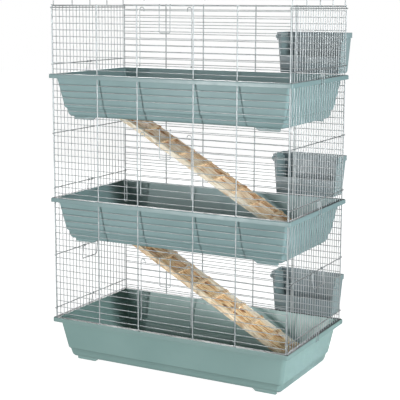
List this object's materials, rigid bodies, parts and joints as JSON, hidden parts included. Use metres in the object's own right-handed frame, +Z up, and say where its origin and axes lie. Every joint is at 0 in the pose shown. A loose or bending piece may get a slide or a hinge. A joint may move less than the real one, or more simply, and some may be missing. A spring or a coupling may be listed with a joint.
{
  "type": "rabbit cage",
  "caption": "Tiered wire rabbit cage with moulded trays, front doors, wooden ramps, outside hay racks and an opening roof hatch.",
  "frame": {"origin": "centre of the bounding box at the floor", "axes": "+Z up, +X to the right seen from the front, +Y towards the back, where the hay racks hang"},
  "size_m": [1.0084, 0.619, 1.4091],
  "materials": {
    "tray_plastic": "soft satin",
    "rack_plastic": "soft satin",
    "zinc_wire": "zinc plated",
    "ramp_wood": "bare pine"
  },
  "bodies": {
    "cage": {"tray_1": "tray_plastic", "tray_2": "tray_plastic", "tray_3": "tray_plastic", "front_panel_1": "zinc_wire", "front_panel_2": "zinc_wire", "front_panel_3": "zinc_wire", "back_panel_1": "zinc_wire", "back_panel_2": "zinc_wire", "back_panel_3": "zinc_wire", "left_panel_1": "zinc_wire", "left_panel_2": "zinc_wire", "left_panel_3": "zinc_wire", "right_panel_1": "zinc_wire", "right_panel_2": "zinc_wire", "right_panel_3": "zinc_wire", "roof_panel": "zinc_wire", "wire_clip": "zinc_wire", "ramp_pin_1": "zinc_wire", "ramp_pin_2": "zinc_wire"},
    "door_1": {"door_1": "zinc_wire"},
    "latch_1": {"latch_1": "zinc_wire"},
    "door_2": {"door_2": "zinc_wire"},
    "latch_2": {"latch_2": "zinc_wire"},
    "door_3": {"door_3": "zinc_wire"},
    "latch_3": {"latch_3": "zinc_wire"},
    "clip_left_1": {"clip_left_1": "zinc_wire"},
    "clip_left_2": {"clip_left_2": "zinc_wire"},
    "clip_left_3": {"clip_left_3": "zinc_wire"},
    "clip_right_1": {"clip_right_1": "zinc_wire"},
    "clip_right_2": {"clip_right_2": "zinc_wire"},
    "clip_right_3": {"clip_right_3": "zinc_wire"},
    "handle_left": {"handle_left": "zinc_wire"},
    "handle_right": {"handle_right": "zinc_wire"},
    "roof_hatch": {"roof_hatch": "zinc_wire"},
    "rack_1": {"rack_1": "rack_plastic"},
    "rack_2": {"rack_2": "rack_plastic"},
    "rack_3": {"rack_3": "rack_plastic"},
    "ramp_1": {"ramp_board_1": "ramp_wood", "ramp_cleats_1": "ramp_wood", "ramp_rail_near_1": "ramp_wood", "ramp_rail_far_1": "ramp_wood"},
    "ramp_2": {"ramp_board_2": "ramp_wood", "ramp_cleats_2": "ramp_wood", "ramp_rail_near_2": "ramp_wood", "ramp_rail_far_2": "ramp_wood"}
  },
  "joints": [
    {"name": "door_1_hinge", "type": "hinge", "parent": "cage", "child": "door_1", "pos_m": [0, -0.2949, 0.2154], "axis": [1, 0, 0], "range_deg": [0, 150]},
    {"name": "latch_1_slide", "type": "slide", "parent": "door_1", "child": "latch_1", "axis": [0, 0, 1], "range_m": [0, 0.012]},
    {"name": "door_2_hinge", "type": "hinge", "parent": "cage", "child": "door_2", "pos_m": [0, -0.2949, 0.6884], "axis": [1, 0, 0], "range_deg": [0, 150]},
    {"name": "latch_2_slide", "type": "slide", "parent": "door_2", "child": "latch_2", "axis": [0, 0, 1], "range_m": [0, 0.012]},
    {"name": "door_3_hinge", "type": "hinge", "parent": "cage", "child": "door_3", "pos_m": [0, -0.2949, 1.1614], "axis": [1, 0, 0], "range_deg": [0, 150]},
    {"name": "latch_3_slide", "type": "slide", "parent": "door_3", "child": "latch_3", "axis": [0, 0, 1], "range_m": [0, 0.012]},
    {"name": "clip_left_1_hinge", "type": "hinge", "parent": "cage", "child": "clip_left_1", "pos_m": [-0.4922, -0.0445, 0.209], "axis": [0, 1, 0], "range_deg": [0, 100]},
    {"name": "clip_left_2_hinge", "type": "hinge", "parent": "cage", "child": "clip_left_2", "pos_m": [-0.4922, -0.0445, 0.682], "axis": [0, 1, 0], "range_deg": [0, 100]},
    {"name": "clip_left_3_hinge", "type": "hinge", "parent": "cage", "child": "clip_left_3", "pos_m": [-0.4922, -0.0445, 1.155], "axis": [0, 1, 0], "range_deg": [0, 100]},
    {"name": "clip_right_1_hinge", "type": "hinge", "parent": "cage", "child": "clip_right_1", "pos_m": [0.4922, -0.0445, 0.209], "axis": [0, -1, 0], "range_deg": [0, 100]},
    {"name": "clip_right_2_hinge", "type": "hinge", "parent": "cage", "child": "clip_right_2", "pos_m": [0.4922, -0.0445, 0.682], "axis": [0, -1, 0], "range_deg": [0, 100]},
    {"name": "clip_right_3_hinge", "type": "hinge", "parent": "cage", "child": "clip_right_3", "pos_m": [0.4922, -0.0445, 1.155], "axis": [0, -1, 0], "range_deg": [0, 100]},
    {"name": "handle_left_hinge", "type": "hinge", "parent": "cage", "child": "handle_left", "pos_m": [-0.4922, -0.0445, 0.42], "axis": [0, 1, 0], "range_deg": [0, 90]},
    {"name": "handle_right_hinge", "type": "hinge", "parent": "cage", "child": "handle_right", "pos_m": [0.4922, -0.0445, 0.42], "axis": [0, -1, 0], "range_deg": [0, 90]},
    {"name": "roof_hatch_hinge", "type": "hinge", "parent": "cage", "child": "roof_hatch", "pos_m": [0, -0.0445, 1.401], "axis": [-1, 0, 0], "range_deg": [0, 110]},
    {"name": "rack_1_lift", "type": "slide", "parent": "cage", "child": "rack_1", "axis": [0, 0, 1], "range_m": [0, 0.012]},
    {"name": "rack_2_lift", "type": "slide", "parent": "cage", "child": "rack_2", "axis": [0, 0, 1], "range_m": [0, 0.012]},
    {"name": "rack_3_lift", "type": "slide", "parent": "cage", "child": "rack_3", "axis": [0, 0, 1], "range_m": [0, 0.012]},
    {"name": "ramp_1_hinge", "type": "hinge", "parent": "cage", "child": "ramp_1", "pos_m": [-0.38, -0.0445, 0.467], "axis": [0, -1, 0], "range_deg": [0, 6]},
    {"name": "ramp_2_hinge", "type": "hinge", "parent": "cage", "child": "ramp_2", "pos_m": [-0.38, -0.0445, 0.94], "axis": [0, -1, 0], "range_deg": [0, 6]}
  ]
}
